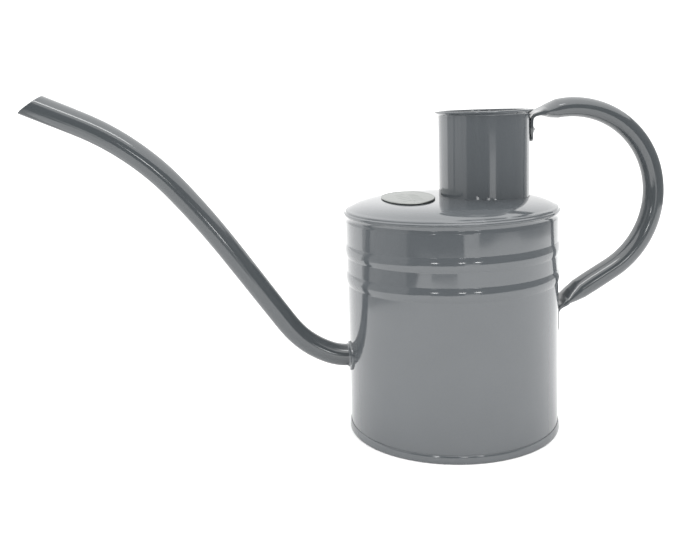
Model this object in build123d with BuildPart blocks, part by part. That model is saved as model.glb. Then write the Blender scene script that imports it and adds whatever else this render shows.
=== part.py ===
"""Indoor watering can in painted sheet steel, in millimetres.

The can stands on the XY plane with the drum's axis on Z. The handle is on the
+X side, the spout on the -X side, and the can is symmetric about the XZ plane.
"""

from build123d import *
import math
import os

os.makedirs("parts", exist_ok=True)

# Sheet and drum
SHEET = 0.7
DRUM_R = 60.0
DRUM_IN = DRUM_R - SHEET
DRUM_TOP = 126.3
RIB_Z = (90.6, 106.3)
RIB_HALF = 3.8
RIB_PROUD = 0.7
GROOVE_Z = 123.5
GROOVE_HALF = 1.3
GROOVE_DEEP = 0.35

# Base with its rolled seam
FOOT = 0.8
SEAM_R = 60.9
SEAM_H = 4.7
SEAM_ROUND = 0.45
BASE_Z = 3.2

# Domed lid
CROWN_Z = 134.8
SHOULDER_R = 58.0
CROWN_DROP = 1.1
SHOULDER_DROP = 4.3
SHOULDER_POWER = 7
DOME_RADII = (0.0, 12.0, 24.0, 34.0, 43.0, 50.0, 55.0, SHOULDER_R)
LID_R = 60.8
SKIRT_TOP = 127.0
SKIRT_BEND = 125.8
SKIRT_FOOT = 124.8

# Filler neck
NECK_X = 19.6
NECK_R = 25.5
NECK_IN = NECK_R - SHEET
NECK_TOP = 182.0
NECK_FOOT = 129.8
CURL_R = 1.0
CURL_BITE = 0.1
SOLDER_W = 1.6
SOLDER_FOOT = 130.5

# Spout
SPOUT_R = 6.8
SPOUT_WALL = 0.8
SPOUT_Z = 45.5
SPOUT_CORNERS = [(-67.0, 45.5), (-86.8, 54.2), (-135.5, 125.1), (-161.6, 156.8), (-187.4, 176.5)]
SPOUT_RADII = [17.0, 50.0, 450.0, 140.0, 130.0]
SPOUT_RISE = 24.4
MOUTH = (-224.4, 193.3)
MOUTH_ANGLE = 34.0
COLLAR = (9.0, 8.4)
COLLAR_Z = 44.9
COLLAR_T = 1.1
BRAZE = 1.3

# Handle: a bow of round tube, a straight run below it and a tab at each end
HANDLE_R = 6.3
HANDLE_WALL = 0.9
BOW_R = 51.0
BOW_CENTRE = (70.0, 131.0)
BOW_START = 97.0
BOW_END = -60.0
LOWER_RUN = 18.0
TAB_T = 2.3
TAB_W = 19.0
TAB_BEND = 3.0
TAB_CORNER = 7.0
UPPER_BEND_Z = 176.0
UPPER_TAB_END = 163.2
LOWER_BEND_Z = 65.0
LOWER_TAB_END = 49.3

# Where the tube is pressed flat: x, z, heading, half thickness and half width
UPPER_HEADING = 14.0
UPPER_FLATS = [(58.6, 181.0, 9.0, 5.4, 7.3), (53.6, 180.2, 12.0, 3.6, 8.5)]
LOWER_HEADING = 30.0
LOWER_FLATS = [(74.0, 74.4, 30.0, 5.8, 6.9), (68.2, 71.0, 30.0, 3.9, 8.4)]

# Rivets through the two tabs
RIVET_R = 1.6
RIVET_HEAD_R = 2.3
RIVET_HEAD_H = 1.2
RIVET_TAIL_H = 0.8
RIVET_Z = (57.0, 170.2)

# Badge
BADGE_X = -24.6
BADGE = (14.5, 28.0)
BADGE_T = 0.7
PAD = (12.0, 24.0)
PAD_T = 0.3

# Places worked out from these
NECK_FACE = NECK_X + NECK_R
COLLAR_FACE = DRUM_R + COLLAR_T

# How far blanks and cutters run past the surfaces that trim them
SPARE = 10.0


def dome_slope(share):
    """Slope of the lid's outer curve at a share of the shoulder's radius."""
    fall = 2 * CROWN_DROP * share + SHOULDER_POWER * SHOULDER_DROP * share ** (SHOULDER_POWER - 1)
    return -fall / SHOULDER_R


def dome_point(radius, offset=0.0):
    """Point of the lid's outer curve, moved by offset along its normal."""
    share = radius / SHOULDER_R
    height = CROWN_Z - CROWN_DROP * share**2 - SHOULDER_DROP * share**SHOULDER_POWER
    slope = dome_slope(share)
    run = math.hypot(1.0, slope)
    return (radius - slope / run * offset, height + offset / run)


def dome_curve(offset=0.0):
    """The lid's section from the axis out to the shoulder."""
    return Spline(
        *[dome_point(radius, offset) for radius in DOME_RADII],
        tangents=[(1.0, 0.0), (1.0, dome_slope(1.0))],
    )


def rod(radius, length):
    """A plain cylinder that stands on the XY plane and joins nothing."""
    low_centre = (Align.CENTER, Align.CENTER, Align.MIN)
    return Cylinder(radius, length, align=low_centre, mode=Mode.PRIVATE)


def drum(radius, low=-SPARE, high=NECK_TOP + SPARE, axis_x=0.0):
    """An upright cylinder on the drum's axis, or on another at x = axis_x."""
    return Pos(axis_x, 0, low) * rod(radius, high - low)


def neck_bar(radius):
    """An upright cylinder on the neck's axis."""
    return drum(radius, low=DRUM_TOP - SPARE, axis_x=NECK_X)


def bar(radius, start, end, height):
    """A round bar along X at a height."""
    return Pos(start, 0, height) * Rot(0, 90, 0) * rod(radius, end - start)


def spout_hole():
    """The round cutter for the spout's root, on the drum's -X side."""
    return bar(SPOUT_R, -DRUM_R - SPARE, -DRUM_R + SPARE, SPOUT_Z)


def rivet_hole(face, height):
    """The cutter for a rivet through a wall at x = face and what lies on it."""
    return bar(RIVET_R, face - SPARE, face + SPARE, height)


def wall_waves(radius):
    """The wall's line up the drum at a radius: two ribs pressed outwards and, above them, a groove."""
    waves = [(z, RIB_HALF, RIB_PROUD) for z in RIB_Z] + [(GROOVE_Z, GROOVE_HALF, -GROOVE_DEEP)]
    low = FOOT
    for centre, half, proud in waves:
        Line((radius, low), (radius, centre - half))
        ThreePointArc((radius, centre - half), (radius + proud, centre), (radius, centre + half))
        low = centre + half
    Line((radius, low), (radius, DRUM_TOP))


# Drum: rolled sheet with two pressed ribs and, near the top, the groove that the lid is crimped into.
with BuildPart() as body_shell:
    with BuildSketch(Plane.XZ):
        with BuildLine():
            wall_waves(DRUM_R)
            wall_waves(DRUM_IN)
            Line((DRUM_IN, FOOT), (DRUM_R, FOOT))
            Line((DRUM_IN, DRUM_TOP), (DRUM_R, DRUM_TOP))
        make_face()
    revolve(axis=Axis.Z)
    add(spout_hole(), mode=Mode.SUBTRACT)
    add(rivet_hole(DRUM_R, RIVET_Z[0]), mode=Mode.SUBTRACT)
body_shell.part.label = "body_shell"
export_step(body_shell.part, "parts/body_shell.step")


# Base: a recessed disc whose edge folds down, round the drum's foot and up outside.
with BuildPart() as base_plate:
    with BuildSketch(Plane.XZ):
        with BuildLine():
            Polyline(
                (0, BASE_Z),
                (DRUM_IN, BASE_Z),
                (DRUM_IN, FOOT),
                (DRUM_R, FOOT),
                (DRUM_R, SEAM_H),
                (SEAM_R, SEAM_H),
                (SEAM_R, 0),
                (DRUM_IN - SHEET, 0),
                (DRUM_IN - SHEET, BASE_Z - SHEET),
                (0, BASE_Z - SHEET),
                close=True,
            )
        make_face()
    revolve(axis=Axis.Z)
    rims = base_plate.edges().filter_by(GeomType.CIRCLE)
    fillet(rims.group_by(SortBy.RADIUS)[-1], radius=SEAM_ROUND)
base_plate.part.label = "base_plate"
export_step(base_plate.part, "parts/base_plate.step")


# Lid: a shallow dome that rests on the drum's rim, its skirt crimped in towards the groove.
inner_shoulder = dome_point(SHOULDER_R, -SHEET)
with BuildPart() as lid:
    with BuildSketch(Plane.XZ):
        with BuildLine():
            top = dome_curve()
            shoulder = TangentArc(top @ 1, (LID_R, SKIRT_TOP), tangent=top % 1)
            Polyline(
                shoulder @ 1,
                (LID_R, SKIRT_BEND),
                (DRUM_R, SKIRT_FOOT),
                (DRUM_R, DRUM_TOP),
                (DRUM_IN, DRUM_TOP),
                inner_shoulder,
            )
            under = dome_curve(-SHEET)
            Line(under @ 0, top @ 0)
        make_face()
    revolve(axis=Axis.Z)
    add(neck_bar(NECK_R), mode=Mode.SUBTRACT)
lid.part.label = "lid"
export_step(lid.part, "parts/lid.step")


# Space under the lid, for trimming the solder that meets the lid from below.
with BuildPart() as under_lid:
    with BuildSketch(Plane.XZ):
        with BuildLine():
            roof = dome_curve(-SHEET)
            Polyline(roof @ 1, ((roof @ 1).X, DRUM_TOP - SPARE), (0.0, DRUM_TOP - SPARE), roof @ 0)
        make_face()
    revolve(axis=Axis.Z)


# Filler neck: a rolled tube that passes through the lid, its rim curled outward.
with BuildPart() as filler_neck:
    with BuildSketch(Plane((NECK_X, 0, 0), x_dir=(1, 0, 0), z_dir=(0, -1, 0))):
        with Locations(((NECK_IN + NECK_R) / 2, NECK_FOOT)):
            Rectangle(SHEET, NECK_TOP - CURL_R - NECK_FOOT, align=(Align.CENTER, Align.MIN))
        with Locations((NECK_R + CURL_R - CURL_BITE, NECK_TOP - CURL_R)):
            Circle(CURL_R)
        with Locations(((NECK_IN + NECK_R) / 2, NECK_TOP - CURL_R)):
            Circle(SHEET / 2)
    revolve(axis=Axis((NECK_X, 0, 0), (0, 0, 1)))
    add(rivet_hole(NECK_FACE, RIVET_Z[1]), mode=Mode.SUBTRACT)
filler_neck.part.label = "filler_neck"
export_step(filler_neck.part, "parts/filler_neck.step")


# Solder ring in the corner between the neck and the lid's underside.
with BuildPart() as neck_solder:
    with BuildSketch(Plane.XY.offset(SOLDER_FOOT)):
        with Locations((NECK_X, 0)):
            Circle(NECK_R + SOLDER_W)
            Circle(NECK_R, mode=Mode.SUBTRACT)
    extrude(amount=SPARE)
    add(under_lid.part, mode=Mode.INTERSECT)
neck_solder.part.label = "neck_solder"
export_step(neck_solder.part, "parts/neck_solder.step")


# Spout: bent tube from the drum's wall to a mouth cut on the slant.
rise = math.radians(SPOUT_RISE)
root = (SPARE - DRUM_R, SPOUT_Z)
beyond = (MOUTH[0] - 2 * SPARE * math.cos(rise), MOUTH[1] + 2 * SPARE * math.sin(rise))
with BuildPart() as spout_tube:
    with BuildLine(Plane.XZ) as spout_path:
        FilletPolyline(root, *SPOUT_CORNERS, beyond, radius=SPOUT_RADII)
    with BuildSketch(Plane((root[0], 0, root[1]), x_dir=(0, 1, 0), z_dir=(-1, 0, 0))):
        Circle(SPOUT_R)
        Circle(SPOUT_R - SPOUT_WALL, mode=Mode.SUBTRACT)
    sweep(path=spout_path.line)
    inwards = Vector(1, 0, 0).rotate(Axis.Y, 90 - MOUTH_ANGLE)
    split(bisect_by=Plane((MOUTH[0], 0, MOUTH[1]), x_dir=(0, 1, 0), z_dir=inwards), keep=Keep.TOP)
    add(drum(DRUM_IN), mode=Mode.SUBTRACT)
spout_tube.part.label = "spout_tube"
export_step(spout_tube.part, "parts/spout_tube.step")


# Collar: thin oval saddle plate on the drum, round the spout's root.
with BuildPart() as spout_collar:
    with BuildSketch(Plane((SPARE - DRUM_R, 0, COLLAR_Z), x_dir=(0, 1, 0), z_dir=(-1, 0, 0))):
        Ellipse(*COLLAR)
    extrude(amount=2 * SPARE)
    add(drum(COLLAR_FACE), mode=Mode.INTERSECT)
    add(drum(DRUM_R), mode=Mode.SUBTRACT)
    add(spout_hole(), mode=Mode.SUBTRACT)
spout_collar.part.label = "spout_collar"
export_step(spout_collar.part, "parts/spout_collar.step")


# Braze fillet between the spout and its collar, turned about the spout's root.
root_top = SPOUT_Z + SPOUT_R
with BuildPart() as spout_braze:
    with BuildSketch(Plane.XZ):
        with BuildLine():
            Polyline(
                (BRAZE - COLLAR_FACE, root_top),
                (-COLLAR_FACE - BRAZE, root_top),
                (-COLLAR_FACE, root_top + BRAZE),
                (BRAZE - COLLAR_FACE, root_top + BRAZE),
                close=True,
            )
        make_face()
    revolve(axis=Axis((0, 0, SPOUT_Z), (1, 0, 0)))
    add(drum(COLLAR_FACE), mode=Mode.SUBTRACT)
spout_braze.part.label = "spout_braze"
export_step(spout_braze.part, "parts/spout_braze.step")


def station(x, z, heading):
    """Cross-section plane of the handle at (x, z), facing heading degrees above +X."""
    angle = math.radians(heading)
    return Plane((x, 0, z), x_dir=(0, 1, 0), z_dir=(math.cos(angle), 0, math.sin(angle)))


def on_bow(angle):
    """Point of the handle's bow at an angle round its centre."""
    turn = math.radians(angle)
    return (BOW_CENTRE[0] + BOW_R * math.cos(turn), BOW_CENTRE[1] + BOW_R * math.sin(turn))


def bend_centre(wall, height):
    """Centre of the bend above a tab that lies on a wall at x = wall."""
    return (wall + TAB_T / 2 + TAB_BEND, height)


def bend_end(wall, height, heading):
    """Where the strip leaves its tab's bend, at heading degrees above +X."""
    centre = bend_centre(wall, height)
    turn = math.radians(heading + 90)
    return (centre[0] + TAB_BEND * math.cos(turn), centre[1] + TAB_BEND * math.sin(turn))


bow_top = on_bow(BOW_START)
bow_low = on_bow(BOW_END)
run_heading = BOW_END - 90
run_turn = math.radians(run_heading)
run_end = (bow_low[0] + LOWER_RUN * math.cos(run_turn), bow_low[1] + LOWER_RUN * math.sin(run_turn))


def flattened_end(tube_end, tube_heading, flats, strip_end, heading):
    """Solid that runs from the round tube to the pressed strip."""
    shapes = [
        (*tube_end, tube_heading, HANDLE_R, HANDLE_R),
        *flats,
        (*strip_end, heading, TAB_T / 2, TAB_W / 2),
    ]
    with BuildPart() as end:
        for x, z, heading, thick, wide in shapes:
            with BuildSketch(station(x, z, heading)):
                Ellipse(wide, thick)
        loft()
    return end.part


def strip_bend(wall, height, heading):
    """Quarter bend of the pressed strip between its tab and the handle."""
    centre = bend_centre(wall, height)
    half = TAB_T / 2
    with BuildPart() as bend:
        with BuildSketch(Plane((centre[0], 0, centre[1]), x_dir=(1, 0, 0), z_dir=(0, -1, 0))):
            with BuildLine():
                outside = CenterArc((0, 0), TAB_BEND + half, heading + 90, 90 - heading)
                inside = CenterArc((0, 0), TAB_BEND - half, heading + 90, 90 - heading)
                Line(outside @ 0, inside @ 0)
                Line(outside @ 1, inside @ 1)
            make_face()
        extrude(amount=TAB_W / 2, both=True)
    return bend.part


def tab(wall, axis_x, top, end):
    """Tongue with rounded corners that hugs a round wall of radius wall about axis_x."""
    with BuildPart() as tongue:
        with BuildSketch(Plane((axis_x + wall - SPARE, 0, top), x_dir=(0, 1, 0), z_dir=(1, 0, 0))) as outline:
            Rectangle(TAB_W, top - end, align=(Align.CENTER, Align.MAX))
            fillet(outline.vertices().group_by(Axis.Y)[0], radius=TAB_CORNER)
        extrude(amount=2 * SPARE)
        add(drum(wall + TAB_T, axis_x=axis_x), mode=Mode.INTERSECT)
        add(drum(wall, axis_x=axis_x), mode=Mode.SUBTRACT)
    return tongue.part


upper_strip = bend_end(NECK_FACE, UPPER_BEND_Z, UPPER_HEADING)
lower_strip = bend_end(DRUM_R, LOWER_BEND_Z, LOWER_HEADING)
handle_ends = [
    flattened_end(bow_top, BOW_START - 90, UPPER_FLATS, upper_strip, UPPER_HEADING),
    flattened_end(run_end, LOWER_HEADING, LOWER_FLATS, lower_strip, LOWER_HEADING),
    strip_bend(NECK_FACE, UPPER_BEND_Z, UPPER_HEADING),
    strip_bend(DRUM_R, LOWER_BEND_Z, LOWER_HEADING),
    tab(NECK_R, NECK_X, UPPER_BEND_Z, UPPER_TAB_END),
    tab(DRUM_R, 0.0, LOWER_BEND_Z, LOWER_TAB_END),
]


# Handle: one bent tube, its ends pressed flat and turned down into tabs.
with BuildPart() as handle:
    with BuildLine(Plane.XZ) as bow_path:
        bow = CenterArc(BOW_CENTRE, BOW_R, BOW_START, BOW_END - BOW_START)
        Line(bow @ 1, run_end)
    with BuildSketch(station(*bow_top, BOW_START - 90)):
        Circle(HANDLE_R)
        Circle(HANDLE_R - HANDLE_WALL, mode=Mode.SUBTRACT)
    sweep(path=bow_path.line)
    add(handle_ends)
    add(drum(DRUM_R, high=DRUM_TOP), mode=Mode.SUBTRACT)
    add(neck_bar(NECK_R), mode=Mode.SUBTRACT)
    add(rivet_hole(DRUM_R, RIVET_Z[0]), mode=Mode.SUBTRACT)
    add(rivet_hole(NECK_FACE, RIVET_Z[1]), mode=Mode.SUBTRACT)
handle.part.label = "handle"
export_step(handle.part, "parts/handle.step")


def rivet(wall, axis_x, height):
    """Rivet along X with a domed head outside and a closing head inside the wall."""
    outside = axis_x + wall + TAB_T
    inside = axis_x + wall - SHEET
    tail_end = inside - RIVET_TAIL_H
    with BuildPart() as head:
        with BuildSketch(Plane.XZ):
            with BuildLine():
                apex = (outside + RIVET_HEAD_H, height)
                crown = TangentArc(apex, (outside, height + RIVET_HEAD_R), tangent=(0, 1))
                Polyline(crown @ 1, (inside, height + RIVET_HEAD_R), (inside, height), apex)
            make_face()
        revolve(axis=Axis((0, 0, height), (1, 0, 0)))
        add(drum(wall + TAB_T, axis_x=axis_x), mode=Mode.SUBTRACT)
    with BuildPart() as tail:
        add(bar(RIVET_HEAD_R, tail_end, outside, height))
        add(drum(wall - SHEET, axis_x=axis_x), mode=Mode.INTERSECT)
    with BuildPart() as pin:
        add(bar(RIVET_R, tail_end, outside, height))
        add([head.part, tail.part])
    return pin.part


rivets = [rivet(DRUM_R, 0.0, RIVET_Z[0]), rivet(NECK_R, NECK_X, RIVET_Z[1])]
with BuildPart() as handle_rivets:
    add(rivets)
handle_rivets.part.label = "handle_rivets"
export_step(handle_rivets.part, "parts/handle_rivets.step")


def on_dome(half_axes, low, high):
    """Oval plate at the badge's place, from low to high above the lid's surface."""
    with BuildPart() as skin:
        with BuildSketch(Plane.XZ):
            with BuildLine():
                under_side = dome_curve(low)
                upper_side = dome_curve(high)
                Line(under_side @ 0, upper_side @ 0)
                Line(under_side @ 1, upper_side @ 1)
            make_face()
        revolve(axis=Axis.Z)
    with BuildPart() as plate:
        with BuildSketch(Plane.XY.offset(CROWN_Z - SPARE)):
            with Locations((BADGE_X, 0)):
                Ellipse(*half_axes)
        extrude(amount=2 * SPARE)
        add(skin.part, mode=Mode.INTERSECT)
    return plate.part


# Adhesive pad under the badge.
pad_plate = on_dome(PAD, 0.0, PAD_T)
with BuildPart() as badge_pad:
    add(pad_plate)
badge_pad.part.label = "badge_pad"
export_step(badge_pad.part, "parts/badge_pad.step")

# Badge: a thin oval plate bent to the lid's dome.
badge_plate = on_dome(BADGE, PAD_T, PAD_T + BADGE_T)
with BuildPart() as badge:
    add(badge_plate)
badge.part.label = "badge"
export_step(badge.part, "parts/badge.step")
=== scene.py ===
"""Looks for an indoor watering can of painted sheet steel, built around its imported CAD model.

Shapes are worked out in millimetres in the CAD's own frame: the can stands on z = 0 with the
drum's axis on z, its handle towards +x and its spout towards -x. Meshes are made in metres.
"""

import math

import bmesh
import bpy
import numpy as np
from mathutils import Matrix, Vector


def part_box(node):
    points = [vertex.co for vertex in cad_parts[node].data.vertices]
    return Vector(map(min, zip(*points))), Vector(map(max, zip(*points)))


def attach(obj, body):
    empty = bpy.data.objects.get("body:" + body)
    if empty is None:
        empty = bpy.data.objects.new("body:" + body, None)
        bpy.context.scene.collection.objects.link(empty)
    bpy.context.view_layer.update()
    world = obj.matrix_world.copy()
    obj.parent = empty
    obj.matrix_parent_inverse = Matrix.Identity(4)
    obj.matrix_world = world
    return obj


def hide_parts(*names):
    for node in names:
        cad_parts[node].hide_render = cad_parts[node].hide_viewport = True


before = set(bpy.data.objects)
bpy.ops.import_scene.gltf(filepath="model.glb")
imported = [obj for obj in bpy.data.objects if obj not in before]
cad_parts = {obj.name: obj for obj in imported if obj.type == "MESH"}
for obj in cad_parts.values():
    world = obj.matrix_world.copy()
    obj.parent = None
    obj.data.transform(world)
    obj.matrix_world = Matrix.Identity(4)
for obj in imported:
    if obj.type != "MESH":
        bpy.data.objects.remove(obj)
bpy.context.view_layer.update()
scene = bpy.context.scene
scene.view_settings.view_transform = "Standard"

# ---------------------------------------------------------------------------
# Camera: at a person's eye height over a table, close to the can and a little
# to the spout's side of its broadside view, with a normal lens.
# ---------------------------------------------------------------------------
MM = 0.001
EYE = np.array((-116.0, -471.4, 195.0)) * MM
LOOK_TURN = math.radians(7.0)
LOOK_DOWN = math.radians(9.82)
TILT = math.radians(-1.93)
SENSOR = 36.0
FOCAL = 44.02
SHIFT_UP = -0.0584

level_look = Vector((math.sin(LOOK_TURN), math.cos(LOOK_TURN), 0.0))
level_right = Vector((level_look.y, -level_look.x, 0.0))
look = level_look * math.cos(LOOK_DOWN) - Vector((0.0, 0.0, math.sin(LOOK_DOWN)))
lens = bpy.data.cameras.new("camera")
lens.sensor_width = SENSOR
lens.lens = FOCAL
lens.shift_y = SHIFT_UP
lens.clip_start = 0.01
camera = bpy.data.objects.new("camera", lens)
camera.matrix_world = (
    Matrix.Translation(Vector(EYE))
    @ look.to_track_quat("-Z", "Y").to_matrix().to_4x4()
    @ Matrix.Rotation(TILT, 4, "Z")
)
scene.collection.objects.link(camera)
scene.camera = camera

# ---------------------------------------------------------------------------
# Studio: a pale table under a white sky that is brightest overhead. The rest of the
# room, which only reflections see, starts past the table's edge: a floor and wall in
# upright bands of grey round the camera's side, three small lamps and a soft box.
# ---------------------------------------------------------------------------
SKY_LOW, SKY_HIGH = 1.3, 2.4
SKY_BEND = 0.3
TABLE_HALF = 20.0
TABLE_WHITE = 0.9
ROOM_FAR = 2.5
ROOM_TOP = 1.6
ROOM_STEP = 4.0
ROOM_LIFT, ISLAND_LIFT = 0.003, 0.004
BLOT_BASE, BLOT_RANGE = 0.45, 1.1
# Each floor band: its turn in degrees, its near edge in metres and its tone.
FLOOR_BANDS = [
    (-112.0, 0.335, 0.75), (-95.0, 0.34, 0.75), (-70.0, 0.372, 0.65), (-53.0, 0.41, 0.6),
    (-51.0, 0.415, 0.14), (-42.0, 0.44, 0.12), (-38.0, 0.56, 0.1), (-15.0, 0.59, 0.07),
    (5.5, 0.59, 0.07), (6.5, 0.66, 1.3), (20.5, 0.69, 1.3), (21.5, 0.69, 0.14),
    (33.0, 0.70, 0.12), (38.0, 0.72, 0.14), (50.0, 0.745, 0.16), (62.0, 0.745, 0.18),
    (68.0, 0.715, 0.16), (80.0, 0.70, 0.18), (95.0, 0.70, 0.3), (112.0, 0.70, 0.6), (125.0, 0.69, 0.7),
]
# Each wall band: its turn and its tone.
WALL_BANDS = [
    (-112.0, 0.75), (-95.0, 0.75), (-53.0, 0.6), (-51.0, 0.14), (-15.0, 0.07),
    (20.0, 0.09), (50.0, 0.16), (95.0, 0.3), (125.0, 0.7),
]
# A paler patch of floor: its turns, its near edge at each of them, its far edge and its tone.
ISLAND_TURNS = (-26.0, -1.0)
ISLAND_NEAR = (0.485, 0.475)
ISLAND_FAR = 0.545
ISLAND_TONE = 0.3
AIM_HIGH = 0.1
LAMP_TURNS = (-23.6, 3.7, 20.2)
LAMP_RISE = 5.0
LAMP_FAR = 2.0
LAMP_SIZE = (0.2, 0.12)
LAMP_STRENGTH = 11.0
SOFT_BOX_TURN, SOFT_BOX_RISE = 13.0, 55.0
SOFT_BOX_FAR = 1.5
SOFT_BOX_SIZE = (0.95, 0.2)
SOFT_BOX_STRENGTH = 9.0


class Socket:
    """A shader socket whose sums, written in Python, become Math nodes of its node tree."""

    def __init__(self, tree, link):
        self.tree = tree
        self.link = link

    def math(self, operation, *values):
        """One Math node, operation(values...)."""
        return add_node(self.tree, "ShaderNodeMath", {"operation": operation}, dict(enumerate(values)))

    def __add__(self, other):
        return self.math("ADD", self, other)

    def __mul__(self, other):
        return self.math("MULTIPLY", self, other)

    __radd__ = __add__
    __rmul__ = __mul__


def add_node(tree, kind, settings, inputs, output=0):
    """Adds a node: its settings first, then each input's value or link. Returns one output socket."""
    node = tree.nodes.new(kind)
    for name, value in settings.items():
        if name == "stops":
            ramp = node.color_ramp
            while len(ramp.elements) < len(value):
                ramp.elements.new(1.0)
            for element, (place, colour) in zip(ramp.elements, value):
                element.position = place
                element.color = (*colour, 1.0)
        else:
            setattr(node, name, value)
    for name, value in inputs.items():
        if isinstance(value, Socket):
            tree.links.new(value.link, node.inputs[name])
        else:
            node.inputs[name].default_value = value
    return Socket(tree, node.outputs[output])


def room_glow(name, strength):
    """A material that glows evenly with one strength."""
    material = bpy.data.materials.new(name)
    material.use_nodes = True
    tree = material.node_tree
    tree.nodes.clear()
    glow = add_node(tree, "ShaderNodeEmission", {}, {"Color": (1.0, 1.0, 1.0, 1.0), "Strength": strength})
    end = tree.nodes.new("ShaderNodeOutputMaterial")
    tree.links.new(glow.link, end.inputs["Surface"])
    return material


def only_reflected(thing):
    """Stage that only glossy surfaces see, so it neither shows itself nor shades anything."""
    thing.visible_camera = False
    thing.visible_diffuse = False
    thing.visible_transmission = False
    thing.visible_volume_scatter = False
    thing.visible_shadow = False


def stage_sheet(name, grid, material):
    """An open sheet through the points grid[i, j], in metres."""
    index = np.arange(grid[..., 0].size).reshape(grid.shape[:2])
    faces = np.stack((index[:-1, :-1], index[:-1, 1:], index[1:, 1:], index[1:, :-1]), axis=-1)
    mesh = bpy.data.meshes.new(name)
    mesh.from_pydata(grid.reshape(-1, 3).tolist(), [], faces.reshape(-1, 4).tolist())
    mesh.materials.append(material)
    thing = bpy.data.objects.new(name, mesh)
    scene.collection.objects.link(thing)
    return thing


def toward(turn, rise=0.0):
    """Unit direction at turn degrees to the right of the camera's side and rise degrees up."""
    level = math.sin(math.radians(turn)) * level_right - math.cos(math.radians(turn)) * level_look
    return level * math.cos(math.radians(rise)) + Vector((0.0, 0.0, math.sin(math.radians(rise))))


def glowing_panel(name, turn, rise, far, size, strength):
    """A flat panel of a width and height that faces the can's middle from a direction."""
    width, height = size
    facing = toward(turn, rise)
    centre = facing * far + Vector((0.0, 0.0, AIM_HIGH))
    across = facing.cross(Vector((0.0, 0.0, 1.0))).normalized() * width / 2
    up = across.cross(facing).normalized() * height / 2
    corners = [[centre - across - up, centre + across - up], [centre - across + up, centre + across + up]]
    panel = stage_sheet(name, np.array(corners), room_glow(name, strength))
    only_reflected(panel)


sky = bpy.data.worlds.new("sky")
sky.use_nodes = True
tree = sky.node_tree
way = add_node(tree, "ShaderNodeTexCoord", {}, {}, output="Generated")
rise = add_node(tree, "ShaderNodeSeparateXYZ", {}, {"Vector": way}, output="Z")
strength = SKY_LOW + (SKY_HIGH - SKY_LOW) * rise.math("SMOOTH_MAX", rise, 0.0, SKY_BEND)
tree.links.new(strength.link, tree.nodes["Background"].inputs["Strength"])
tree.nodes["Background"].inputs["Color"].default_value = (1.0, 1.0, 1.0, 1.0)
scene.world = sky

table_paint = bpy.data.materials.new("table_white")
table_paint.use_nodes = True
table_shader = table_paint.node_tree.nodes["Principled BSDF"]
table_shader.inputs["Base Color"].default_value = (TABLE_WHITE, TABLE_WHITE, TABLE_WHITE, 1.0)
table_shader.inputs["Roughness"].default_value = 1.0
table_shader.inputs["Specular IOR Level"].default_value = 0.0
side = np.array((-TABLE_HALF, TABLE_HALF))
table_x, table_y = np.meshgrid(side, side)
stage_sheet("table", np.stack((table_x, table_y, 0.0 * table_x), axis=-1), table_paint)

room_grey = bpy.data.materials.new("room_grey")
room_grey.use_nodes = True
tree = room_grey.node_tree
tree.nodes.clear()
place = add_node(tree, "ShaderNodeTexCoord", {}, {}, output="Object")
uneven = add_node(tree, "ShaderNodeMapping", {}, {"Vector": place, "Scale": (3.0, 3.0, 0.7)})
blot = add_node(tree, "ShaderNodeTexNoise", {}, {"Vector": uneven, "Scale": 1.6, "Detail": 2.0})
tone = add_node(tree, "ShaderNodeAttribute", {"attribute_name": "tone"}, {}, output="Fac")
glow = add_node(tree, "ShaderNodeEmission", {}, {"Strength": tone * (BLOT_BASE + blot * BLOT_RANGE)})
end = tree.nodes.new("ShaderNodeOutputMaterial")
tree.links.new(glow.link, end.inputs["Surface"])


def filled(bands):
    """Turns from the first band to the last, at most a step apart, and what the bands hold there."""
    given, *columns = np.array(bands).T
    turns = np.unique(np.concatenate((given, np.arange(given[0], given[-1], ROOM_STEP))))
    return turns, *[np.interp(turns, given, column) for column in columns]


def room_sheet(name, turns, tones, rims):
    """Part of the room: a grid whose columns stand at the turns, each with its own tone, and whose rows
    stand at the rims, each a distance, the same or its own for each turn, and a height."""
    ways = np.array([toward(turn) for turn in turns])
    grid = np.array([
        ways * (distances + 0.0 * turns)[:, None] + (0.0, 0.0, high) for distances, high in rims
    ])
    sheet = stage_sheet(name, grid, room_grey)
    sheet.data.attributes.new("tone", "FLOAT", "POINT").data.foreach_set("value", np.tile(tones, len(rims)))
    only_reflected(sheet)


turns, near, tones = filled(FLOOR_BANDS)
room_sheet("room_floor", turns, tones, [(near, ROOM_LIFT), (ROOM_FAR, ROOM_LIFT)])
turns, tones = filled(WALL_BANDS)
room_sheet("room_wall", turns, tones, [(ROOM_FAR, ROOM_LIFT), (ROOM_FAR, ROOM_TOP)])
turns, near, tones = np.array(ISLAND_TURNS), np.array(ISLAND_NEAR), np.array((ISLAND_TONE, ISLAND_TONE))
room_sheet("room_island", turns, tones, [(near, ISLAND_LIFT), (ISLAND_FAR, ISLAND_LIFT)])
for number, turn in enumerate(LAMP_TURNS):
    glowing_panel(f"lamp_{number}", turn, LAMP_RISE, LAMP_FAR, LAMP_SIZE, LAMP_STRENGTH)
glowing_panel("soft_box", SOFT_BOX_TURN, SOFT_BOX_RISE, SOFT_BOX_FAR, SOFT_BOX_SIZE, SOFT_BOX_STRENGTH)

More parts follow.
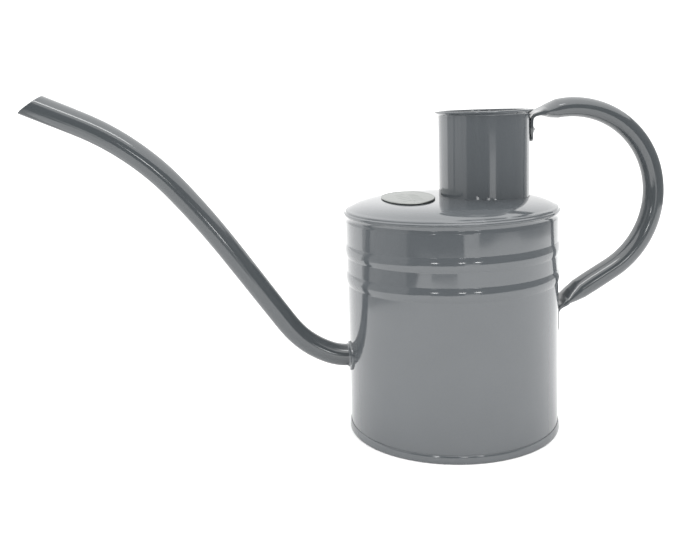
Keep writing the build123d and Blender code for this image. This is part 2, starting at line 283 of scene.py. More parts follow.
# ---------------------------------------------------------------------------
# Drum: 0.7 mm sheet rolled into a cylinder and lapped behind the handle. Two beads
# are swaged outwards near the top, and a groove runs under the rim that carries the
# lid. All of the sheet steel is painted in one glossy slate grey.
# ---------------------------------------------------------------------------
SHEET = 0.7
BEAD_Z = (90.6, 106.3)
BEAD_HALF = 3.8
BEAD_PROUD = 0.7
BEAD_ENTRY = 0.96
GROOVE_Z = 124.1
GROOVE_FROM, GROOVE_RUN = 1.9, 1.875
GROOVE_DEEP = 0.4
FLARE_RUN = 1.8
FLARE_OUT = 0.8
LAP = 0.3
LAP_TURN = 0.5
FIRST_INSET = 0.3
SLATE = ((0.064, 0.071, 0.077), (0.079, 0.087, 0.094))
SLATE_IOR = 1.75
CLOUD, CLOUD_SHARE = 30.0, 0.7
MOTTLE, MOTTLE_SHARE = 1.2, 0.3
GLOSS, GLOSS_RANGE = 0.06, 0.07
HANDLED = 22.0
PEEL, PEEL_HIGH = 1.6, 0.0012
WAVES, WAVES_HIGH = 26.0, 0.12


def box_mm(node):
    """The lowest and highest corner of a CAD node, in millimetres."""
    low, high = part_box(node)
    return np.round(np.array(low) / MM, 1), np.round(np.array(high) / MM, 1)


def rounded(corners, radii, step=0.3):
    """Line through corners whose inner ones are arcs: one of radius r, between runs that meet at an
    angle a, starts and ends r / tan(a / 2) from its corner. Straight runs get points near their ends."""
    corners = np.array(corners, float)
    parts = [corners[:1]]
    for before, corner, after, radius in zip(corners, corners[1:], corners[2:], radii):
        back = (before - corner) / np.linalg.norm(before - corner)
        on = (after - corner) / np.linalg.norm(after - corner)
        half = math.acos(np.clip(back @ on, -1.0, 1.0)) / 2
        centre = corner + (back + on) / np.linalg.norm(back + on) * radius / math.sin(half)
        start = math.atan2(*(corner + back * radius / math.tan(half) - centre)[::-1])
        finish = math.atan2(*(corner + on * radius / math.tan(half) - centre)[::-1])
        sweep = (finish - start + math.pi) % (2 * math.pi) - math.pi
        angles = start + sweep * np.linspace(0.0, 1.0, 3 + int(abs(sweep) * radius / step))
        parts.append(centre + radius * np.stack((np.cos(angles), np.sin(angles)), axis=-1))
    parts.append(corners[-1:])
    return eased(np.concatenate(parts))


def eased(line):
    """The line with more points near the ends of its long runs, each 3 times as far in as the last."""
    inset = FIRST_INSET * 3.0 ** np.arange(5)
    parts = []
    for start, end in zip(line, line[1:]):
        length = np.linalg.norm(end - start)
        near = inset[inset < 0.45 * length]
        shares = np.concatenate(([0.0], near, length - near[::-1])) / max(length, 1e-9)
        parts.append(start + (end - start) * shares[:, None])
    parts.append(line[-1:])
    return np.concatenate(parts)


def all_round(count):
    """Evenly spaced angles of one full turn."""
    return 2 * math.pi * np.arange(count) / count


def turned(section, centre_x=0.0, count=256, lap=0.0):
    """A section of (radius, height) points turned about an upright axis at x = centre_x. The radius
    grows by lap over the last half radian and drops back at the lapped joint, on the +x side."""
    angle = all_round(count)
    grown = lap * np.clip(1.0 - (2 * math.pi - angle) / LAP_TURN, 0.0, 1.0) ** 2
    radius = section[:, :1] + grown * (section[:, :1] > 0)
    height = np.broadcast_to(section[:, 1:], radius.shape)
    return np.stack((centre_x + radius * np.cos(angle), radius * np.sin(angle), height), axis=-1)


def skin(name, grids, finish, sharp=35.0):
    """A closed mesh through grids of points in millimetres, each wrapped along its columns and, unless
    its first and last rows are single points, along its rows. Faces point outwards."""
    points, faces, first = [], [], 0
    for grid in grids:
        index = first + np.arange(grid[..., 0].size).reshape(grid.shape[:2])
        first += index.size
        if np.ptp(grid[0], axis=0).max() > 1e-6:
            index = np.vstack((index, index[:1]))
        index = np.hstack((index, index[:, :1]))
        faces.append(np.stack((index[:-1, :-1], index[:-1, 1:], index[1:, 1:], index[1:, :-1]), axis=-1))
        points.append(grid.reshape(-1, 3) * MM)
    mesh = bpy.data.meshes.new(name)
    quads = np.concatenate([four.reshape(-1, 4) for four in faces])
    mesh.from_pydata(np.concatenate(points).tolist(), [], quads.tolist())
    shell = bmesh.new()
    shell.from_mesh(mesh)
    bmesh.ops.remove_doubles(shell, verts=shell.verts, dist=1e-6)
    if shell.calc_volume(signed=True) < 0:
        bmesh.ops.reverse_faces(shell, faces=shell.faces)
    shell.to_mesh(mesh)
    shell.free()
    mesh.polygons.foreach_set("use_smooth", np.ones(len(mesh.polygons), bool))
    mesh.set_sharp_from_angle(angle=math.radians(sharp))
    mesh.materials.append(finish)
    thing = bpy.data.objects.new(name, mesh)
    scene.collection.objects.link(thing)
    return thing


def finish_of(name, base, roughness, constants, bump_height):
    """A material on Principled BSDF: base(tree, place) and roughness(tree, place) give what varies,
    constants are set on the shader's own sockets, and bump_height(tree, place) is in millimetres."""
    material = bpy.data.materials.new(name)
    material.use_nodes = True
    tree = material.node_tree
    shader = tree.nodes["Principled BSDF"]
    place = add_node(tree, "ShaderNodeTexCoord", {}, {}, output="Object")
    place = add_node(tree, "ShaderNodeMapping", {}, {"Vector": place, "Scale": (1 / MM, 1 / MM, 1 / MM)})
    for socket, value in constants.items():
        shader.inputs[socket].default_value = value
    tree.links.new(base(tree, place).link, shader.inputs["Base Color"])
    tree.links.new(roughness(tree, place).link, shader.inputs["Roughness"])
    height = bump_height(tree, place) * MM
    bump = add_node(tree, "ShaderNodeBump", {}, {"Height": height, "Strength": 1.0, "Distance": 1.0})
    tree.links.new(bump.link, shader.inputs["Normal"])
    return material


def noise(tree, place, size, detail=2.0):
    """Smooth noise from 0 to 1 whose blots are about size millimetres across."""
    return add_node(tree, "ShaderNodeTexNoise", {}, {"Vector": place, "Scale": 1 / size, "Detail": detail})


def mixed(tree, low, high, share):
    """The colour between low and high at a share from 0 to 1."""
    stops = [(0.0, low), (1.0, high)]
    return add_node(tree, "ShaderNodeValToRGB", {"stops": stops}, {"Fac": share})


def clouds(tree, place):
    """Clouds a few centimetres across with a faint fine mottle in them."""
    return noise(tree, place, CLOUD) * CLOUD_SHARE + noise(tree, place, MOTTLE) * MOTTLE_SHARE


def paint_colour(tree, place):
    """Slate grey, clouded between two shades."""
    return mixed(tree, *SLATE, clouds(tree, place))


def paint_roughness(tree, place):
    """Gloss with slightly duller, handled areas."""
    return GLOSS + noise(tree, place, HANDLED, 3.0) * GLOSS_RANGE


def paint_bump(tree, place):
    """Orange peel of the sprayed paint over the gentle unevenness of the rolled sheet."""
    return noise(tree, place, PEEL, 1.0) * PEEL_HIGH + noise(tree, place, WAVES, 1.0) * WAVES_HIGH


slate_paint = finish_of("slate_paint", paint_colour, paint_roughness, {"IOR": SLATE_IOR}, paint_bump)

drum_low, drum_high = box_mm("body_shell")
drum_r = drum_high[1] - BEAD_PROUD
rim_z = drum_high[2]


def wall_r(height):
    """The drum's outer radius at a height. At t half widths from its middle a bead stands 1 - t^2 of
    its height proud, and past t = e a fillet takes that slope out by 1 / e. Above the beads the wall
    dips into the groove as sin squared and flares with the square of the height above it."""
    radius = np.full_like(height, drum_r)
    for bead in BEAD_Z:
        across = np.abs(height - bead) / BEAD_HALF
        fillet = BEAD_ENTRY**2 / (1 - BEAD_ENTRY**2) * (1 / BEAD_ENTRY - across).clip(0.0) ** 2
        radius = radius + BEAD_PROUD * np.where(across < BEAD_ENTRY, 1 - across**2, fillet)
    dip = np.clip((height - GROOVE_Z + GROOVE_FROM) / GROOVE_RUN, 0.0, 1.0)
    flare = np.clip((height - GROOVE_Z) / FLARE_RUN, 0.0, 1.0)
    return radius - GROOVE_DEEP * np.sin(dip * math.pi / 2) ** 2 + FLARE_OUT * flare**2


# The wall's rows lie closest together where it bends.
bead_rows = 1.3 * BEAD_HALF * np.linspace(-1.0, 1.0, 53)
wall_z = np.concatenate((
    drum_low[2] + np.array((0.0, 1.0, 3.0, 9.0)),
    np.linspace(22.0, 82.0, 7),
    BEAD_Z[0] + bead_rows,
    BEAD_Z[1] + bead_rows,
    np.linspace(114.0, 121.0, 4),
    np.linspace(121.6, rim_z - 0.5, 18),
))
outside = np.stack((wall_r(wall_z), wall_z), axis=-1)
crest = np.array(((drum_r + 0.35, rim_z - 0.25), (drum_r, rim_z - 0.05), (drum_r - SHEET, rim_z)))
inside = outside[::-1] - (SHEET, 0.0)
section = np.concatenate((outside, crest, inside))
drum = skin("drum_wall", [turned(section, lap=LAP)], slate_paint)
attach(drum, "root")
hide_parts("body_shell")

# ---------------------------------------------------------------------------
# Base: a recessed disc of the same sheet with one stiffening ring. Its edge folds
# down and is rolled round the drum's foot into a seam that stands slightly proud.
# ---------------------------------------------------------------------------
RECESS = 3.2
RING_R = 42.0
RING_HALF = 3.0
RING_HIGH = 0.45

base_high = box_mm("base_plate")[1]
seam_r, seam_top = base_high[1], base_high[2]
foot = rounded(
    [
        (RING_R + 4.0, RECESS - SHEET),
        (drum_r - 2 * SHEET, RECESS - SHEET),
        (drum_r - 2 * SHEET, 0.0),
        (seam_r - 0.1, 0.0),
        (seam_r, 1.6),
        (seam_r - 0.25, 3.6),
        (drum_r + 0.35, seam_top),
        (drum_r + 0.02, seam_top),
        (drum_r + 0.02, 0.4),
        (drum_r - SHEET - 0.1, 0.4),
        (drum_r - SHEET - 0.1, RECESS),
        (RING_R + 4.0, RECESS),
    ],
    [0.8, 0.45, 0.7, 6.0, 2.2, 0.3, 0.12, 0.15, 0.15, 0.5],
    step=0.15,
)
across = np.linspace(-1.0, 1.0, 17)
plate = np.concatenate(((0.0, 12.0, 25.0, 35.0), RING_R + RING_HALF * across))
lifted = np.concatenate((np.zeros(4), RING_HIGH * np.cos(across * math.pi / 2) ** 2))
under = np.stack((plate, RECESS - SHEET - lifted), axis=-1)
over = np.stack((plate, RECESS - lifted), axis=-1)
base = skin("base_pan", [turned(np.concatenate((under, foot, over[::-1])))], slate_paint)
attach(base, "root")
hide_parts("base_plate")

# ---------------------------------------------------------------------------
# Lid: a domed disc pressed from sheet, with a hole for the neck off its centre.
# Its shoulder turns down into a tight curl that sits on the drum's flared rim.
# ---------------------------------------------------------------------------
SHOULDER_R = 58.0
CROWN_DROP, EDGE_DROP, EDGE_POWER = 1.1, 4.3, 7
NECK_GAP = 0.3
CURL_OUT = 1.9
LID_COUNT = 320

lid_high = box_mm("lid")[1]
crown_z = lid_high[2]
lid_r = lid_high[1]
neck_low, neck_high = box_mm("filler_neck")
neck_x = (neck_low[0] + neck_high[0]) / 2
neck_r = neck_high[1] - CURL_OUT


def dome_z(radius):
    """The lid's height at a distance from the drum's axis: it falls a little with the square of the
    distance, and near the shoulder with a high power of it."""
    share = radius / SHOULDER_R
    return crown_z - CROWN_DROP * share**2 - EDGE_DROP * share**EDGE_POWER


def lid_row(share, below):
    """A ring of the lid: share 0 is the neck's hole and share 1 the shoulder, and each ring's centre
    and radius lie between those two. It is below millimetres under the dome."""
    angle = all_round(LID_COUNT)
    hole_r = neck_r + NECK_GAP
    radius = hole_r + (SHOULDER_R - hole_r) * share
    x = neck_x * (1 - share) + radius * np.cos(angle)
    y = radius * np.sin(angle)
    return np.stack((x, y, dome_z(np.hypot(x, y)) - below), axis=-1)


lip = np.linspace(0.0, 1.0, 7)[:-1]
top_rows = [lid_row(0.014 * (s - 1), 0.5 * (1 - math.sqrt(1 - (1 - s) ** 2))) for s in lip]
top_rows += [lid_row(share, 0.0) for share in np.linspace(0.0, 1.0, 46)]
edge = rounded(
    [
        (SHOULDER_R, dome_z(SHOULDER_R)),
        (59.7, 128.7),
        (60.0, 127.75),
        (lid_r, 127.3),
        (lid_r, 126.1),
        (drum_r - 0.2, 126.1),
        (drum_r - 0.2, 126.45),
        (drum_r - SHEET, 126.45),
        (SHOULDER_R - 0.4, dome_z(SHOULDER_R) - SHEET),
    ],
    [1.2, 0.5, 0.6, 0.5, 0.05, 0.05, 0.2],
    step=0.12,
)
bottom_rows = [lid_row(share, SHEET) for share in np.linspace(0.98, -0.012, 24)]
rim_rows = turned(edge[1:-1], count=LID_COUNT)
lid = skin("domed_lid", [np.concatenate((top_rows, rim_rows, bottom_rows))], slate_paint)
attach(lid, "root")
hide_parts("lid")

# ---------------------------------------------------------------------------
# Filler neck: a rolled tube that passes through the lid, its seam behind the
# handle's tab and its rim flared outwards to a narrow lip.
# ---------------------------------------------------------------------------
LIP_T = 0.9
FLARE_DOWN = 2.1

neck_foot, neck_top = neck_low[2], neck_high[2]
curl_r = neck_high[1]
collar = rounded(
    [
        (neck_r - SHEET, neck_foot),
        (neck_r - SHEET, neck_top),
        (curl_r, neck_top),
        (curl_r, neck_top - LIP_T),
        (neck_r, neck_top - FLARE_DOWN),
        (neck_r, neck_foot),
        (neck_r - SHEET, neck_foot),
    ],
    [0.8, 0.4, 0.3, 0.6, 0.1],
    step=0.14,
)
neck = skin("neck_tube", [turned(collar[:-1], centre_x=neck_x, lap=LAP / 2)], slate_paint)
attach(neck, "root")
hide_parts("filler_neck")

# ---------------------------------------------------------------------------
# Neck solder: a fillet of tin solder that holds the neck in the lid's hole. It was
# run by hand in the corner under the lid, so its width wanders.
# ---------------------------------------------------------------------------
SOLDER_OUT = 1.7
SOLDER_DOWN = 1.9
TIN = ((0.42, 0.41, 0.39), (0.60, 0.60, 0.60))


def solder_colour(tree, place):
    """Dull grey tin with darker flux stains."""
    return mixed(tree, *TIN, noise(tree, place, 3.0, 4.0))


def solder_roughness(tree, place):
    """Frosty where the solder cooled slowly."""
    return 0.35 + noise(tree, place, 1.5) * 0.25


def solder_bump(tree, place):
    """Small ripples left by the iron."""
    return noise(tree, place, 1.8, 3.0) * 0.08


solder = finish_of("solder", solder_colour, solder_roughness, {"Metallic": 1.0}, solder_bump)
angle = all_round(180)
wobble = 0.16 * np.sin(5 * angle + 1.0) + 0.12 * np.sin(11 * angle) + 0.08 * np.sin(23 * angle + 2.0)
ring_rows = []
for out, down in [(0, -0.1), (1.0, -0.1), (0.85, 0.12), (0.5, 0.4), (0.2, 0.7), (0.0, 1.0)]:
    radius = neck_r - 0.05 + out * (SOLDER_OUT + wobble)
    x = neck_x + radius * np.cos(angle)
    y = radius * np.sin(angle)
    roof = dome_z(np.hypot(x, y)) - SHEET
    ring_rows.append(np.stack((x, y, roof - down * (SOLDER_DOWN + wobble)), axis=-1))
solder_ring = skin("solder_ring", [np.array(ring_rows)], solder, sharp=60.0)
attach(solder_ring, "root")
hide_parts("neck_solder")

# ---------------------------------------------------------------------------
# Spout: one bent steel tube from a hole low in the drum to a mouth cut on the
# slant. Bending has drawn it a little thinner low down than at its free end.
# ---------------------------------------------------------------------------
SPOUT_R = 6.8
SPOUT_WALL = 0.8
SPOUT_INSIDE = 1.3
# The tube's outer radius at shares of its length from the drum.
DRAWN_AT = (0.0, 0.15, 0.55, 0.8, 1.0)
DRAWN_TO = (6.4, 6.25, 6.6, SPOUT_R, SPOUT_R)
SPOUT_Z = 45.5
SPOUT_CORNERS = [(-67.0, 45.5), (-86.8, 54.2), (-135.5, 125.1), (-161.6, 156.8), (-187.4, 176.5)]
SPOUT_RADII = [17.0, 50.0, 450.0, 140.0, 130.0]
MOUTH = (-224.4, 193.3)
MOUTH_SLANT = math.radians(34.0)
MOUTH_REACH = 20.0
SPINE_STEP = 0.5
SPOUT_SOFTNESS = 6.0
# The slate darkened for the spout and handle: painted shade, not a different paint.
SHADED_TUBE_SLATE = ((0.046, 0.052, 0.056), (0.058, 0.065, 0.070))
TUBE_IOR = 1.7


def along(line, places):
    """Points of a line at distances along it."""
    run = np.concatenate(([0.0], np.cumsum(np.linalg.norm(np.diff(line, axis=0), axis=1))))
    return np.stack([np.interp(places, run, line[:, k]) for k in range(2)], axis=-1)


def softened(line, reach):
    """The line at even steps, each point the mean of those within reach of it, its ends kept."""
    length = np.linalg.norm(np.diff(line, axis=0), axis=1).sum()
    even = along(line, np.linspace(0.0, length, 1 + round(length / SPINE_STEP)))
    half = round(reach / SPINE_STEP)
    before = even[0] - (even[1:half + 1][::-1] - even[0])
    after = even[-1] - (even[-half - 1:-1][::-1] - even[-1])
    padded = np.concatenate((before, even, after))
    box = np.ones(2 * half + 1) / (2 * half + 1)
    return np.stack([np.convolve(padded[:, k], box, "valid") for k in range(2)], axis=-1)


def swept(spine, places, across, aside):
    """Rings round a plane line in xz: at each distance along it, points that lie across it by the
    rows of across, in its own plane, and by the rows of aside, along y."""
    run = SPINE_STEP * np.arange(len(spine))
    steps = np.gradient(spine, SPINE_STEP, axis=0)
    steps = steps / np.linalg.norm(steps, axis=1)[:, None]
    centre = np.stack([np.interp(places, run, spine[:, k]) for k in range(2)], axis=-1)
    ahead = np.stack([np.interp(places, run, steps[:, k]) for k in range(2)], axis=-1)
    ahead = ahead / np.linalg.norm(ahead, axis=1)[:, None]
    x = centre[:, :1] - ahead[:, 1:] * across
    z = centre[:, 1:] + ahead[:, :1] * across
    return np.stack((x, aside + 0.0 * x, z), axis=-1), ahead


def shaded_tube_colour(tree, place):
    """The same slate grey made deeper than on the sheet pieces, as painted shade: a darker copy that stands
    in for the shade on the spout and handle.
    """
    return mixed(tree, *SHADED_TUBE_SLATE, clouds(tree, place))


# The spout's and handle's finish, which carries the painted shade of its darker slate.
shaded_tube_paint = finish_of("shaded_tube_paint", shaded_tube_colour, paint_roughness, {"IOR": TUBE_IOR}, paint_bump)
route = rounded([(SPOUT_INSIDE - drum_r, SPOUT_Z), *SPOUT_CORNERS, MOUTH], SPOUT_RADII, step=1.0)
spine = softened(route, SPOUT_SOFTNESS)
spout_length = SPINE_STEP * (len(spine) - 1)
share = np.linspace(0.0, 0.998, 220)
outer = np.interp(share, DRAWN_AT, DRAWN_TO)
turn = np.linspace(0.0, math.pi, 9)
lip_r = SPOUT_R - SPOUT_WALL / 2 * (1 - np.cos(turn))
lip_place = spout_length + SPOUT_WALL / 2 * np.sin(turn)
lip_at = np.minimum(lip_place, spout_length)
places = np.concatenate((share * spout_length, lip_at, share[::-3] * spout_length))
tube_r = np.concatenate((outer, lip_r, outer[::-3] - SPOUT_WALL))
angle = all_round(72)
rings, ahead = swept(spine, places, tube_r[:, None] * np.sin(angle), tube_r[:, None] * np.cos(angle))
beyond = np.concatenate((0.0 * share, lip_place - spout_length, 0.0 * share[::-3]))
mouth_x, mouth_z = math.sin(MOUTH_SLANT), -math.cos(MOUTH_SLANT)
along_x, along_z = ahead[:, :1], ahead[:, 1:]
slant = -(mouth_z * along_x - mouth_x * along_z) / (mouth_x * along_x + mouth_z * along_z)
near = np.clip((places - spout_length + MOUTH_REACH) / MOUTH_REACH, 0.0, 1.0)[:, None]
push = near * slant * tube_r[:, None] * np.sin(angle) + beyond[:, None]
rings[..., 0] += push * along_x
rings[..., 2] += push * along_z
spout = skin("bent_spout", [rings], shaded_tube_paint)
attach(spout, "root")
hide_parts("spout_tube")

# ---------------------------------------------------------------------------
# Spout joint: a thin oval saddle pressed to the drum's curve, and the braze that
# was run round the tube where it leaves the saddle. Both are painted over.
# ---------------------------------------------------------------------------
SADDLE = (9.0, 8.4)
SADDLE_Z = 44.9
SADDLE_T = 1.1
SADDLE_HOLE = 6.2
BRAZE_R = 6.3
BRAZE_OUT = 1.3


def on_wall(y, height, lift):
    """Points at (y, height) that stand lift millimetres off the drum's wall, on the spout's side."""
    radius = drum_r + lift
    return np.stack((-np.sqrt(radius**2 - y**2), y, height + 0.0 * y), axis=-1)


angle = all_round(144)
saddle_rows = []
for out, lift in [(0.0, 0.0), (0.0, 0.8), (0.06, SADDLE_T), (0.5, SADDLE_T), (0.8, SADDLE_T),
                  (0.92, 0.95 * SADDLE_T), (1.0, 0.6 * SADDLE_T), (1.0, 0.0)]:
    y = ((1 - out) * SADDLE_HOLE + out * SADDLE[0]) * np.cos(angle)
    z = (1 - out) * SPOUT_Z + out * SADDLE_Z + ((1 - out) * SADDLE_HOLE + out * SADDLE[1]) * np.sin(angle)
    saddle_rows.append(on_wall(y, z, lift))
saddle = skin("spout_saddle", [np.array(saddle_rows)], slate_paint, sharp=60.0)
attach(saddle, "root")
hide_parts("spout_collar")

uneven = 1.0 + 0.10 * np.sin(3 * angle + 0.7) + 0.07 * np.sin(8 * angle) + 0.05 * np.sin(17 * angle + 1.0)
braze_rows = []
for out, lift in [(-0.1, -0.1), (-0.1, 1.25), (0.05, 0.9), (0.2, 0.6),
                  (0.45, 0.3), (0.75, 0.1), (1.0, 0.0), (1.0, -0.1)]:
    radius = BRAZE_R + out * BRAZE_OUT * uneven
    y = radius * np.cos(angle)
    z = SPOUT_Z + radius * np.sin(angle)
    braze_rows.append(on_wall(y, z, SADDLE_T + lift * uneven))
braze = skin("braze_bead", [np.array(braze_rows)], slate_paint, sharp=60.0)
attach(braze, "root")
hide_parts("spout_braze")

# ---------------------------------------------------------------------------
# Handle: one tube bent into a bow. Each end is pressed flat, turned down and
# shaped to the wall it is riveted to, with a rounded tongue of an end.
# ---------------------------------------------------------------------------
TAB_HALF = 9.5
TAB_T = 2.3
TAB_BEND = 3.0
TAB_EDGE = 0.6
TAB_HUG = 8.0
TONGUE_R = 8.5
ROUND, SQUARE = 2.0, 6.0
BOW_R = 51.0
BOW_CENTRE = np.array((70.3, 131.0))
BOW_FROM, BOW_TO = 97.0, -60.0
LOWER_RUN = 18.0
UPPER_BEND, LOWER_BEND = (176.0, 14.0), (65.0, 30.0)
UPPER_END, LOWER_END = 163.2, 49.3
UPPER_TURNED, LOWER_TURNED = 4.0, 3.2
GRIP_SOFTNESS = 2.0


def ray(angle):
    """Unit vector at an angle in degrees above +x."""
    return np.array((math.cos(math.radians(angle)), math.sin(math.radians(angle))))


def arc(centre, radius, start, stop, count):
    """Points on a circle's arc from start to stop, in degrees above +x."""
    return np.array([centre + radius * ray(angle) for angle in np.linspace(start, stop, count)])


neck_face, drum_face = neck_x + neck_r + TAB_T / 2, drum_r + TAB_T / 2
upper_bend = arc((neck_face + TAB_BEND, UPPER_BEND[0]), TAB_BEND, 180.0, 90.0 + UPPER_BEND[1], 12)
bow = arc(BOW_CENTRE, BOW_R, BOW_FROM, BOW_TO, 160)
run_end = bow[-1] + LOWER_RUN * ray(BOW_TO - 90.0)
lower_bend = arc((drum_face + TAB_BEND, LOWER_BEND[0]), TAB_BEND, 90.0 + LOWER_BEND[1], 180.0, 12)
handle_line = np.concatenate((
    [(neck_face, UPPER_END)], upper_bend, bow, [run_end], lower_bend, [(drum_face, LOWER_END)],
))
grip = softened(handle_line, GRIP_SOFTNESS)
grip_length = SPINE_STEP * (len(grip) - 1)
# Distances along the handle to where each tab has turned from the wall into the bow.
upper_bent = UPPER_BEND[0] - UPPER_END + UPPER_TURNED
lower_bent = grip_length - (LOWER_BEND[0] - LOWER_END) - LOWER_TURNED
near_end = np.array((0.0, 0.1, 0.3, 0.7, 1.2, 2.0, 3.0, 4.5, 6.0, 8.0))
places = np.concatenate((
    near_end,
    np.arange(9.0, 40.0, 0.6),
    np.arange(41.0, grip_length - 41.0, 1.4),
    np.arange(grip_length - 40.0, grip_length - 9.0, 0.6),
    (grip_length - near_end)[::-1],
))
# Each station: its distance along the handle, half the thickness there and half the width.
stations = np.array([
    (upper_bent - 2.0, TAB_T / 2, TAB_HALF), (upper_bent + 1.7, 1.4, 9.3), (upper_bent + 4.3, 2.5, 8.7),
    (upper_bent + 6.5, 3.65, 8.2), (upper_bent + 9.0, 4.4, 7.7), (upper_bent + 13.6, 5.5, 6.9),
    (upper_bent + 20.0, 5.65, 6.5), (0.5 * grip_length, 5.85, 6.4), (lower_bent - 24.0, 6.4, 6.3),
    (lower_bent - 16.0, 6.2, 6.5), (lower_bent - 10.0, 4.9, 7.4), (lower_bent - 6.5, 3.65, 8.2),
    (lower_bent - 4.3, 2.5, 8.7), (lower_bent - 1.7, 1.4, 9.3), (lower_bent + 2.0, TAB_T / 2, TAB_HALF),
])
half_thick = np.interp(places, stations[:, 0], stations[:, 1])
half_wide = np.interp(places, stations[:, 0], stations[:, 2])
to_end = np.minimum(places, grip_length - places)
cut_in = np.clip(TONGUE_R - to_end, 0.0, TONGUE_R)
half_wide = half_wide - (TONGUE_R - np.sqrt(TONGUE_R**2 - cut_in**2))
half_thick = half_thick * np.sqrt(1.0 - (1.0 - to_end / TAB_EDGE).clip(0.0) ** 2)
half_wide[[0, -1]] = 0.0
squareness = ROUND + (SQUARE - ROUND) * np.clip((TAB_T + 1.0 - half_thick) / 2.0, 0.0, 1.0)
power = (2.0 / squareness)[:, None]
angle = 2 * math.pi * (np.arange(96) + 0.5) / 96
thick_share = np.sign(np.sin(angle)) * np.abs(np.sin(angle)) ** power
wide_share = np.sign(np.cos(angle)) * np.abs(np.cos(angle)) ** power
aside = half_wide[:, None] * wide_share
rings, _ = swept(grip, places, half_thick[:, None] * thick_share, aside)
for wall, bent, way in ((neck_r, upper_bent, -1.0), (drum_r, lower_bent, 1.0)):
    hug = np.clip(0.5 + way * (places - bent) / TAB_HUG, 0.0, 1.0)[:, None]
    rings[..., 0] -= hug**2 * (3 - 2 * hug) * (wall - np.sqrt(wall**2 - aside**2))
handle = skin("bow_handle", [rings], shaded_tube_paint, sharp=50.0)
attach(handle, "root")
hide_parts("handle")

# ---------------------------------------------------------------------------
# Rivets: two steel rivets, painted with the rest. A domed head lies on each tab
# and a flatter closing head lies inside the wall.
# ---------------------------------------------------------------------------
RIVET_R = 1.6
HEAD_R = 2.3
HEAD_H = 2.0
TAIL_H = 0.8
RIVET_COUNT = 48
RIVETS = [(drum_r, 57.0), (neck_x + neck_r, 170.2)]

grids = []
for wall_x, height in RIVETS:
    face, inner_face = wall_x + TAB_T, wall_x - SHEET
    dome = np.linspace(0.0, math.pi / 2, 10)
    line = np.concatenate((
        np.stack((face - 0.1 + (HEAD_H + 0.1) * np.cos(dome), HEAD_R * np.sin(dome)), axis=-1),
        [(face - 0.25, HEAD_R), (face - 0.25, RIVET_R)],
        [(inner_face + 0.1, RIVET_R), (inner_face + 0.1, HEAD_R), (inner_face - 0.4, HEAD_R)],
        [(inner_face - TAIL_H, HEAD_R - 0.5), (inner_face - TAIL_H, 0.0)],
    ))
    angle = all_round(RIVET_COUNT)
    x = np.broadcast_to(line[:, :1], (len(line), RIVET_COUNT))
    grids.append(np.stack((x, line[:, 1:] * np.cos(angle), height + line[:, 1:] * np.sin(angle)), axis=-1))
rivets = skin("domed_rivets", grids, slate_paint)
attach(rivets, "root")
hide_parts("handle_rivets")

# ---------------------------------------------------------------------------
# Badge: a thin oval plate of cast pewter-coloured metal bent to the dome, with a
# raised rim and a sprig of leaves, on a slightly smaller pad of dark foam tape.
# ---------------------------------------------------------------------------
BADGE = (14.5, 28.0)
BADGE_T = 0.7
PAD_T = 0.3
PAD_IN = (2.5, 4.0)
SUNK = 0.25
LEAVES = 5
FIRST_LEAF, LEAF_STEP = -14.0, 6.5
LEAF_LEAN = 0.6
LEAF_LONG, LEAF_WIDE = 4.0, 1.7
LEAF_OUT = 4.2
CREASE = 0.25
STEM_WIDE, STEM_HALF = 0.5, 19.0
MOTIF_HIGH = 0.24
FOAM = ((0.012, 0.012, 0.013), (0.035, 0.035, 0.036))
PEWTER = ((0.19, 0.20, 0.19), (0.27, 0.28, 0.27))


def on_lid(x, y, lift):
    """Points at (x, y) that stand lift millimetres above the lid."""
    return np.stack((x, y, dome_z(np.hypot(x, y)) + lift), axis=-1)


def oval(rows, half_x, half_y, count):
    """Rings of an oval plate on the dome, one for each (share of the half axes, lift)."""
    angle = all_round(count)
    return np.array([
        on_lid(badge_x + share * half_x * np.cos(angle), share * half_y * np.sin(angle), lift)
        for share, lift in rows
    ])


def leaf(x, y, base_y, lean):
    """Height share of one leaf: an ellipse from the stem outwards, with a crease along its middle."""
    u = (x * math.cos(lean) - (y - base_y) * math.sin(lean)) - LEAF_OUT
    v = x * math.sin(lean) + (y - base_y) * math.cos(lean)
    body = np.clip(1.0 - (u / LEAF_LONG) ** 2 - (v / LEAF_WIDE) ** 2, 0.0, 1.0) ** 0.5
    return body * (1.0 - 0.5 * np.exp(-((v / CREASE) ** 2)))


def sprig(x, y):
    """Height share of the motif: a stem along the oval's long axis with leaves on both sides."""
    raised = np.exp(-((x / STEM_WIDE) ** 2)) * (np.abs(y) < STEM_HALF)
    for number in range(LEAVES):
        base_y = FIRST_LEAF + LEAF_STEP * number
        for side in (-1.0, 1.0):
            raised = np.maximum(raised, leaf(side * x, y, base_y, LEAF_LEAN))
    return raised


badge_low, badge_high = box_mm("badge")
badge_x = (badge_low[0] + badge_high[0]) / 2


def foam_colour(tree, place):
    """Near-black foam."""
    return mixed(tree, *FOAM, noise(tree, place, 0.4))


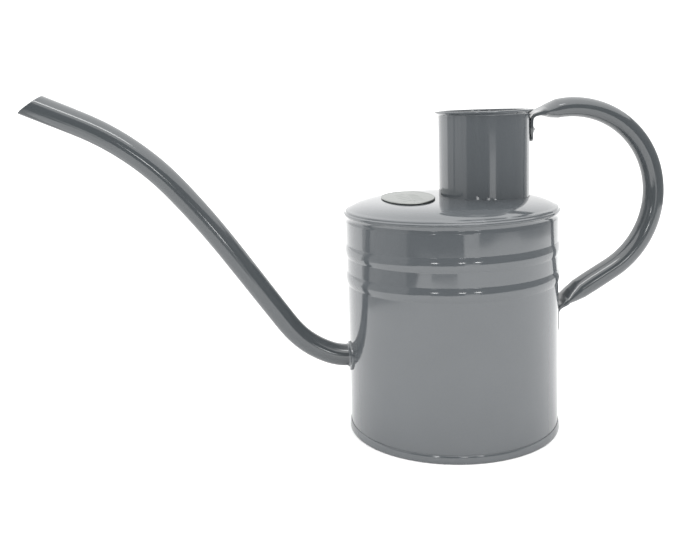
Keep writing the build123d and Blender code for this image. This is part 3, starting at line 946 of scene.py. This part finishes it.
def foam_roughness(tree, place):
    """Dull all over."""
    return 0.85 + noise(tree, place, 0.5) * 0.1


def foam_bump(tree, place):
    """The foam's open cells."""
    return noise(tree, place, 0.35) * 0.06


foam = finish_of("adhesive_foam", foam_colour, foam_roughness, {}, foam_bump)
pad_rows = [(0.0, 0.02), (0.5, 0.02), (0.96, 0.02), (1.0, 0.1),
            (1.0, PAD_T - 0.05), (0.97, PAD_T), (0.5, PAD_T), (0.0, PAD_T)]
pad = skin("foam_pad", [oval(pad_rows, BADGE[0] - PAD_IN[0], BADGE[1] - PAD_IN[1], 96)], foam)
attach(pad, "root")
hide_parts("badge_pad")


def pewter_colour(tree, place):
    """Warm grey metal, darker where wear has left a film."""
    return mixed(tree, *PEWTER, noise(tree, place, 5.0, 4.0))


def pewter_roughness(tree, place):
    """Brushed: streaks along the oval's long axis."""
    stretched = add_node(tree, "ShaderNodeMapping", {}, {"Vector": place, "Scale": (6.0, 0.25, 1.0)})
    return 0.3 + noise(tree, stretched, 1.0, 3.0) * 0.2


def pewter_bump(tree, place):
    """Fine brush marks and a cast grain."""
    stretched = add_node(tree, "ShaderNodeMapping", {}, {"Vector": place, "Scale": (8.0, 0.3, 1.0)})
    return noise(tree, stretched, 1.0) * 0.004 + noise(tree, place, 0.7) * 0.01


pewter = finish_of("pewter", pewter_colour, pewter_roughness, {"Metallic": 1.0}, pewter_bump)
top = PAD_T + BADGE_T
field = [(share, top - SUNK) for share in np.linspace(0.0, 0.93, 90)]
rim = [(0.94, top - 0.2), (0.95, top - 0.05), (0.965, top), (0.982, top - 0.05), (0.995, top - 0.22),
       (1.0, top - 0.4), (0.998, PAD_T + 0.08), (0.99, PAD_T), (0.6, PAD_T), (0.0, PAD_T)]
plate = oval(field + rim, *BADGE, 300)
motif = MOTIF_HIGH * sprig(plate[:len(field), :, 0] - badge_x, plate[:len(field), :, 1])
plate[:len(field), :, 2] += motif
badge = skin("oval_badge", [plate], pewter)
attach(badge, "root")
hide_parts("badge")
